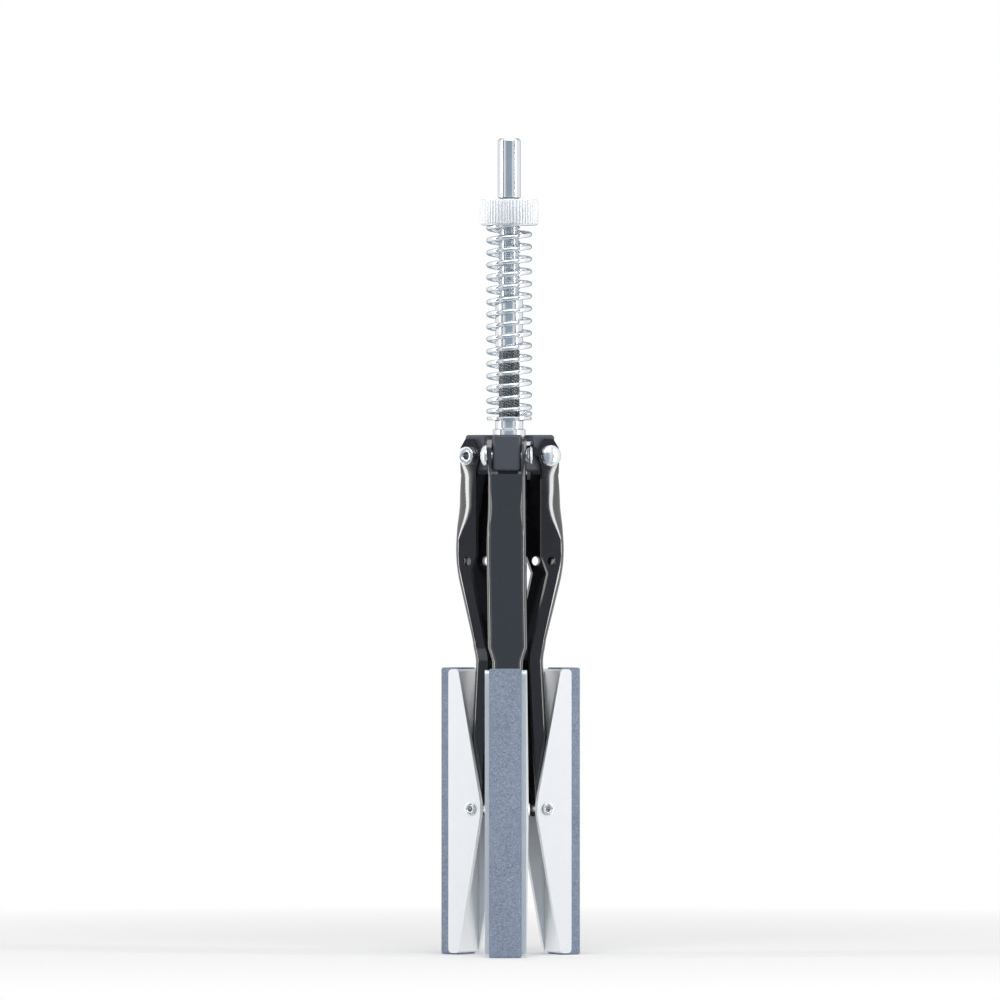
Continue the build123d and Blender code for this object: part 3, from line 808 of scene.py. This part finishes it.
def build_flexible_shaft():
    """Wires laid on a core, running straight between the two ferrules."""
    radius = cable_radius + cable_wire_depth / 3
    top, low = ferrule_low.z + 2 * mm, collar_high.z - 2 * mm
    rows = [(radius, height) for height in spaced(top, low, cable_lay / cable_wires / 8)]
    mesh = turned_mesh("flexible_shaft_wires", [(0, top)] + rows + [(0, low)], segments=96)
    mesh = through_tree(mesh, relief_tree, {
        "Depth": cable_wire_depth, "Grooves": float(cable_wires), "Turns Per Metre": cable_wires / cable_lay,
        "Roundness": 1.0, "Low End": low - 1 * mm, "High End": top + 1 * mm,
        "Least Radius": radius / 2, "Material": cable_wire,
    })
    piece = finish_piece("flexible_shaft_wires", mesh, cable_wire, None, ["flexible_shaft"], 50)
    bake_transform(piece)


def build_hub_stem():
    """Turned stem, hollow at its top for the cable."""
    radius, top, low = stem_high.x, stem_high.z, stem_low.z
    bore_end = top - 1.5 * mm
    outline = [(0, low), (radius, low), (radius, top), (cable_bore, top), (cable_bore, bore_end),
               (0, bore_end)]
    mesh = turned_mesh("hub_stem_turned", eased(outline, [0.6, 0.3, 0.2, 0.0]))
    finish_piece("hub_stem_turned", mesh, turned_steel, "hub", ["hub_stem"])


def build_pressure_collar():
    """Spring seat, neck, rim and foot, bored for the stem."""
    seat, low = collar_high.z, collar_low.z
    bore = stem_high.x + 0.06 * mm
    seat_low = seat - collar_seat_thickness
    neck_low = seat_low - collar_neck_length
    foot_top = low + collar_foot_thickness
    seam = (bore, (seat + low) / 2)
    outline = [seam, (bore, seat), (collar_seat_radius, seat), (collar_seat_radius, seat_low),
               (collar_neck_radius, seat_low), (collar_neck_radius, neck_low), (collar_rim_radius, neck_low),
               (collar_rim_radius, foot_top), (collar_foot_radius, foot_top), (collar_foot_radius, low),
               (bore, low), seam]
    profile = eased(outline, [0.2, 0.3, 0.3, 0.5, 0.5, 0.3, 0.3, 0.3, 0.3, 0.2])[:-1]
    mesh = turned_mesh("pressure_collar_turned", profile)
    finish_piece("pressure_collar_turned", mesh, zinc_plate, "collar", ["pressure_collar"])


def build_hub():
    """Three-lobed hub and the nut below it."""
    mesh = eased_copy("hub", "hub_machined", 0.25 * mm)
    finish_piece("hub_machined", mesh, hub_black, "hub", ["hub"])
    mesh = eased_copy("stem_nut", "stem_nut_eased", 0.3 * mm)
    finish_piece("stem_nut_eased", mesh, dull_plate, "hub", ["stem_nut"])


def arm_back():
    """Side line of the arm's back, from the web's top over the bulge and the waist to the tail."""
    web_radius = pivot_radius + web_beyond_pivot
    web_top = pivot_level - web_below_pivot
    tail_radius = holder_pin_radius + tail_beyond_pin
    corners = [(web_radius, web_top + 30 * mm), (web_radius, web_top),
               (web_bulge_radius, pivot_level - web_bulge_drop),
               (web_waist_radius, pivot_level - web_waist_drop),
               (tail_radius, holder_pin_level), (tail_radius, arm_low.z - 5 * mm)]
    return eased(corners, [0, 45, 25, 0], steps=24)


def build_shoulder_blank():
    """Block with the arm's two rolled outer shoulders: broad beside the web's top, close at the bulge."""
    back = [(level, radius) for radius, level in arm_back()]
    half = arm_high.x + 0.01 * mm
    knots = [(pivot_level - drop * mm, deep, wide) for drop, deep, wide in shoulder_knots]
    levels = spaced(arm_low.z - 5 * mm, arm_high.z + 1 * mm, 0.5 * mm)
    rolls = [[between(knots, level, part) for part in (1, 2)] for level in levels]
    for _ in range(8):
        inner = [[(before[part] + here[part] + after[part]) / 3 for part in (0, 1)]
                 for before, here, after in zip(rolls, rolls[1:], rolls[2:])]
        rolls = [rolls[0]] + inner + [rolls[-1]]
    shape = bmesh.new()
    rings = []
    for level, (deep, wide) in zip(levels, rolls):
        outer = between(back, level, 1) + 0.01 * mm
        right = [(0, half)]
        for k in range(roll_steps + 1):
            turn = pi / 2 * k / roll_steps
            right.append((outer - deep * mm * (1 - sin(turn)), half - wide * mm * (1 - cos(turn))))
        section = right + [(r, -v) for r, v in reversed(right)]
        rings.append([shape.verts.new((v, -r, level)) for r, v in section])
    for first, second in zip(rings, rings[1:]):
        bridge(shape, first, second)
    shape.faces.new(rings[0])
    shape.faces.new(rings[-1])
    bmesh.ops.recalc_face_normals(shape, faces=shape.faces)
    return add_object("shoulder_blank", mesh_of(shape, "shoulder_blank"))


def between(knots, level, part):
    """Value at a level, on straight lines between knots whose first entry is their level."""
    rows = sorted(knots)
    for lower, upper in zip(rows, rows[1:]):
        if level <= upper[0] or upper is rows[-1]:
            span = max(upper[0] - lower[0], 1e-9)
            share = min(max((level - lower[0]) / span, 0.0), 1.0)
            return lower[part] + (upper[part] - lower[part]) * share


def build_arms():
    """One stamped arm with its rolled shoulders, set in its three places."""
    blank = build_shoulder_blank()
    carrier = add_object("arm_carrier", merged_copy("arm_1", "arm_stamped"))
    cut = carrier.modifiers.new("shoulders", "BOOLEAN")
    cut.operation = "INTERSECT"
    cut.solver = "EXACT"
    cut.object = blank
    ease_edges(carrier, 0.2 * mm, 2, 50)
    stamped = even_shading(evaluated_copy(carrier))
    bpy.data.objects.remove(blank)
    for number, angle in arm_angles.items():
        name = f"arm_{number}_stamped"
        placed = stamped.copy()
        placed.name = name
        placed.transform(Matrix.Rotation(radians(angle - arm_angles[1]), 4, "Z"))
        finish_piece(name, placed, arm_paint, f"arm_{number}", [f"arm_{number}"])


def build_pivot_rivet(number, angle):
    """Domed head on one side, hollow flared tail on the other."""
    name = f"pivot_rivet_{number}_set"
    grip = (arm_high.x - arm_low.x) / 2 + 0.1 * mm
    rim = grip + rivet_head_rim
    tail = -grip - rivet_tail_length
    bore_end = tail + rivet_bore_depth
    height = rivet_head_height - rivet_head_rim
    dome = [(rivet_head_radius * sin(k * pi / 24), rim + height * cos(k * pi / 24)) for k in range(13)]
    shaft = [(rivet_head_radius, grip), (rivet_radius, grip), (rivet_radius, -grip), (2.45 * mm, -grip),
             (2.7 * mm, tail + 1.0 * mm), (rivet_flare_radius, tail + 0.45 * mm), (2.9 * mm, tail),
             (1.7 * mm, tail), (rivet_bore, tail + 0.5 * mm), (rivet_bore, bore_end), (0, bore_end)]
    rounding = [0.2, 0.0, 0.0, 0.0, 0.2, 0.3, 0.3, 0.4, 0.3, 0.1]
    profile = dome + eased([dome[-1]] + shaft, rounding)[1:]
    mesh = turned_mesh(name, profile, 64, cross_place(angle, pivot_radius, pivot_level))
    finish_piece(name, mesh, rivet_zinc, "hub", [f"pivot_rivet_{number}"])


def build_holder_pin(number, angle):
    """Small pin with a hollow flared end on both sides."""
    name = f"holder_pin_{number}_set"
    grip = (holder_high.x - holder_low.x) / 2 + 0.01 * mm
    end = grip + pin_head
    bore_end = end - pin_bore_depth
    half = [(0, bore_end), (pin_bore, bore_end), (pin_bore, end - 0.3 * mm), (1.25 * mm, end),
            (2.0 * mm, end), (pin_head_radius, grip + 0.2 * mm), (pin_head_radius, grip), (pin_radius, grip)]
    outline = eased(half, [0.1, 0.3, 0.2, 0.25, 0.2, 0.05])
    profile = outline + [(radius, -height) for radius, height in reversed(outline)]
    mesh = turned_mesh(name, profile, 48, cross_place(angle, holder_pin_radius, holder_pin_level))
    finish_piece(name, mesh, rivet_zinc, f"holder_{number}", [f"holder_pin_{number}"])


def build_stone_holder(number):
    """Pressed channel that carries a stone, with its edges eased."""
    name = f"stone_holder_{number}_pressed"
    mesh = eased_copy(f"stone_holder_{number}", name, 0.2 * mm)
    finish_piece(name, mesh, holder_plate, f"holder_{number}", [f"stone_holder_{number}"])


def stone_section(half, face, back):
    """Outline of a stone across its length, in even steps: crowned face, two sides and flat back."""
    rim = face - stone_crown
    edge, step = stone_edge, stone_step
    section = [(x, rim + stone_crown * (1 - (x / (half - edge)) ** 2))
               for x in spaced(edge - half, half - edge, step)]
    section += [(half, radius) for radius in spaced(rim - edge, back + edge / 2, step)]
    section += [(x, back) for x in spaced(half - edge / 2, edge / 2 - half, step)]
    section += [(-half, radius) for radius in spaced(back + edge / 2, rim - edge, step)]
    return section


def build_stone(number, angle):
    """Bonded stone: crowned face, eased edges, and a surface of pits and grains."""
    name = f"stone_{number}_bonded"
    half = (stone_high.x - stone_low.x) / 2
    face, back = -stone_low.y, -stone_high.y
    middle_radius = (face + back) / 2
    section = stone_section(half, face, back)
    levels = spaced(stone_low.z, stone_high.z, stone_step)
    rows = [(levels[0], 0.94)] + [(level, 1.0) for level in levels[1:-1]] + [(levels[-1], 0.94)]
    shape = bmesh.new()
    rings = [[shape.verts.new((x * share, middle_radius + (r - middle_radius) * share, level))
              for x, r in section] for level, share in rows]
    for first, second in zip(rings, rings[1:]):
        bridge(shape, first, second)
    for ring in (rings[0], rings[-1]):
        previous = ring
        for share in (0.75, 0.5, 0.25):
            inner = [shape.verts.new((v.co.x * share, middle_radius + (v.co.y - middle_radius) * share,
                                      v.co.z)) for v in ring]
            bridge(shape, previous, inner)
            previous = inner
        shape.faces.new(previous)
    bmesh.ops.recalc_face_normals(shape, faces=shape.faces)
    shape.transform(Matrix.Rotation(radians(angle - 90), 4, "Z"))
    mesh = mesh_of(shape, name)
    mesh.shade_smooth()
    mesh = through_tree(mesh, grit_tree, {"Seed": float(number), "Material": stone_grit})
    finish_piece(name, mesh, stone_grit, f"holder_{number}", [f"stone_{number}"], 50)


build_drive_shank()
build_upper_ferrule()
build_thrust_washer()
build_tension_nut()
build_pressure_spring()
build_flexible_shaft()
build_hub_stem()
build_pressure_collar()
build_hub()
build_arms()
for number, angle in arm_angles.items():
    build_pivot_rivet(number, angle)
    build_holder_pin(number, angle)
    build_stone_holder(number)
    build_stone(number, angle)


# Studio: pale floor, white surroundings, soft lamps and the camera


def build_floor():
    """Pale floor that keeps the shadow near the hone and fades into the white surroundings farther out."""
    shape = bmesh.new()
    bmesh.ops.create_grid(shape, x_segments=1, y_segments=1, size=4.0)
    shape.transform(Matrix.Translation((0, 0, stone_low.z - 0.1 * mm)))
    mesh = mesh_of(shape, "floor")
    floor = add_object("floor", mesh)
    made, tree, shader, place = start_material("pale_floor")
    grain = add_noise(tree, place, 400.0, 2.0)
    tone = blend_colours(tree, grain, (0.96, 0.96, 0.96, 1), (0.985, 0.985, 0.985, 1))
    tree.links.new(tone, shader.inputs["Base Color"])
    shader.inputs["Roughness"].default_value = 0.9
    shader.inputs["Specular IOR Level"].default_value = 0.0
    away = vector_calc(tree, "LENGTH", {0: place})["Value"]
    faded = remap(tree, away, 0.0, 1.0, 0.33, 0.55)
    path = add_node(tree, "ShaderNodeLightPath").outputs
    white = add_node(tree, "ShaderNodeEmission", {"Color": (1, 1, 1, 1), "Strength": 1.0}).outputs[0]
    plain = product(tree, faded, path["Is Camera Ray"])
    mixed = add_node(tree, "ShaderNodeMixShader", {0: plain, 1: shader.outputs[0], 2: white}).outputs[0]
    clear = add_node(tree, "ShaderNodeBsdfTransparent").outputs[0]
    seen = add_node(tree, "ShaderNodeMixShader", {0: path["Is Glossy Ray"], 1: mixed, 2: clear}).outputs[0]
    tree.links.new(seen, tree.nodes["Material Output"].inputs["Surface"])
    mesh.materials.append(made)


def build_world(fill, gap, flag_tone, flags):
    """White to the camera; reflections see white walls, cool gaps in front and behind, and dark flags."""
    world = bpy.data.worlds.new("studio")
    scene.world = world
    world.use_nodes = True
    tree = world.node_tree
    path = add_node(tree, "ShaderNodeLightPath").outputs
    place = add_node(tree, "ShaderNodeTexCoord").outputs["Generated"]
    axes = add_node(tree, "ShaderNodeSeparateXYZ", {0: place}).outputs
    upright = calc(tree, "ABSOLUTE", axes[2])
    level = calc(tree, "SQRT", minus(tree, 1.0001, product(tree, upright, upright)))
    sideways = calc(tree, "DIVIDE", calc(tree, "ABSOLUTE", axes[0]), level)
    aside = remap(tree, sideways, 1.0, 0.0, 0.5, 0.62)
    azimuth = calc(tree, "ARCTAN2", axes[1], axes[0])
    shaded = 0.0
    for flag in flags:
        off = calc(tree, "ABSOLUTE", minus(tree, azimuth, radians(flag)))
        flagged = remap(tree, off, 1.0, 0.0, radians(6), radians(10))
        shaded = calc(tree, "MAXIMUM", shaded, flagged)
    low = remap(tree, upright, 1.0, 0.0, 0.9, 0.99)
    mirrored = blend_colours(tree, product(tree, aside, low), (1, 1, 1, 1), (*gap, 1))
    mirrored = blend_colours(tree, product(tree, shaded, low), mirrored, (*flag_tone, 1))
    reflected = calc(tree, "MAXIMUM", path["Is Glossy Ray"], path["Is Transmission Ray"])
    lit = blend_colours(tree, reflected, (fill, fill, fill, 1), mirrored)
    background = tree.nodes["Background"]
    seen = blend_colours(tree, path["Is Camera Ray"], lit, (1, 1, 1, 1))
    tree.links.new(seen, background.inputs["Color"])
    background.inputs["Strength"].default_value = 1.0


def add_lamp(name, place, size, power):
    """A soft rectangular lamp aimed at the hone's middle."""
    data = bpy.data.lights.new(name, "AREA")
    data.shape = "RECTANGLE"
    data.size, data.size_y = size
    data.energy = power
    lamp = add_object(name, data)
    lamp.location = place
    lamp.visible_camera = False
    lamp.rotation_euler = (lamp_target - Vector(place)).to_track_quat("-Z", "Y").to_euler()


def build_camera():
    """Level camera far off, a little to the right of the first arm, as in the picture."""
    pixels_per_mm = 2.87
    image_height = 1000
    middle_level = -115.6 * mm
    axis_offset = 9.2 / pixels_per_mm * mm
    turned = radians(3.5)
    data = bpy.data.cameras.new("camera")
    data.lens = 400
    data.sensor_width = 36
    distance = image_height / pixels_per_mm * mm * data.lens / data.sensor_width
    camera = add_object("camera", data)
    away = Vector((sin(turned), -cos(turned), 0))
    right = Vector((cos(turned), sin(turned), 0))
    camera.location = away * distance - right * axis_offset + Vector((0, 0, middle_level))
    camera.rotation_euler = (-away).to_track_quat("-Z", "Y").to_euler()
    data.clip_start, data.clip_end = 0.05, 40
    scene.camera = camera


def around(angle, distance, height):
    """A place at an angle round the hone's axis."""
    return (distance * cos(radians(angle)), distance * sin(radians(angle)), height)


lamp_target = Vector((0, 0, -115 * mm))
build_floor()
build_world(fill=0.45, gap=(0.34, 0.41, 0.475), flag_tone=(0.16, 0.18, 0.21), flags=(-151, -31))
strip_size, strip_power, strip_distance, strip_level = (0.16, 1.5), 5.0, 1.15, -0.05
for name, angle in (("left_strip", 192.0), ("right_strip", -19.0)):
    add_lamp(name, around(angle, strip_distance, strip_level), strip_size, strip_power)
add_lamp("front_top_softbox", (0.1, -0.9, 0.85), (1.4, 0.8), 8.5)
add_lamp("top_softbox", (0.0, 0.3, 1.1), (1.0, 1.0), 2.4)
build_camera()

scene.view_settings.view_transform = "Standard"
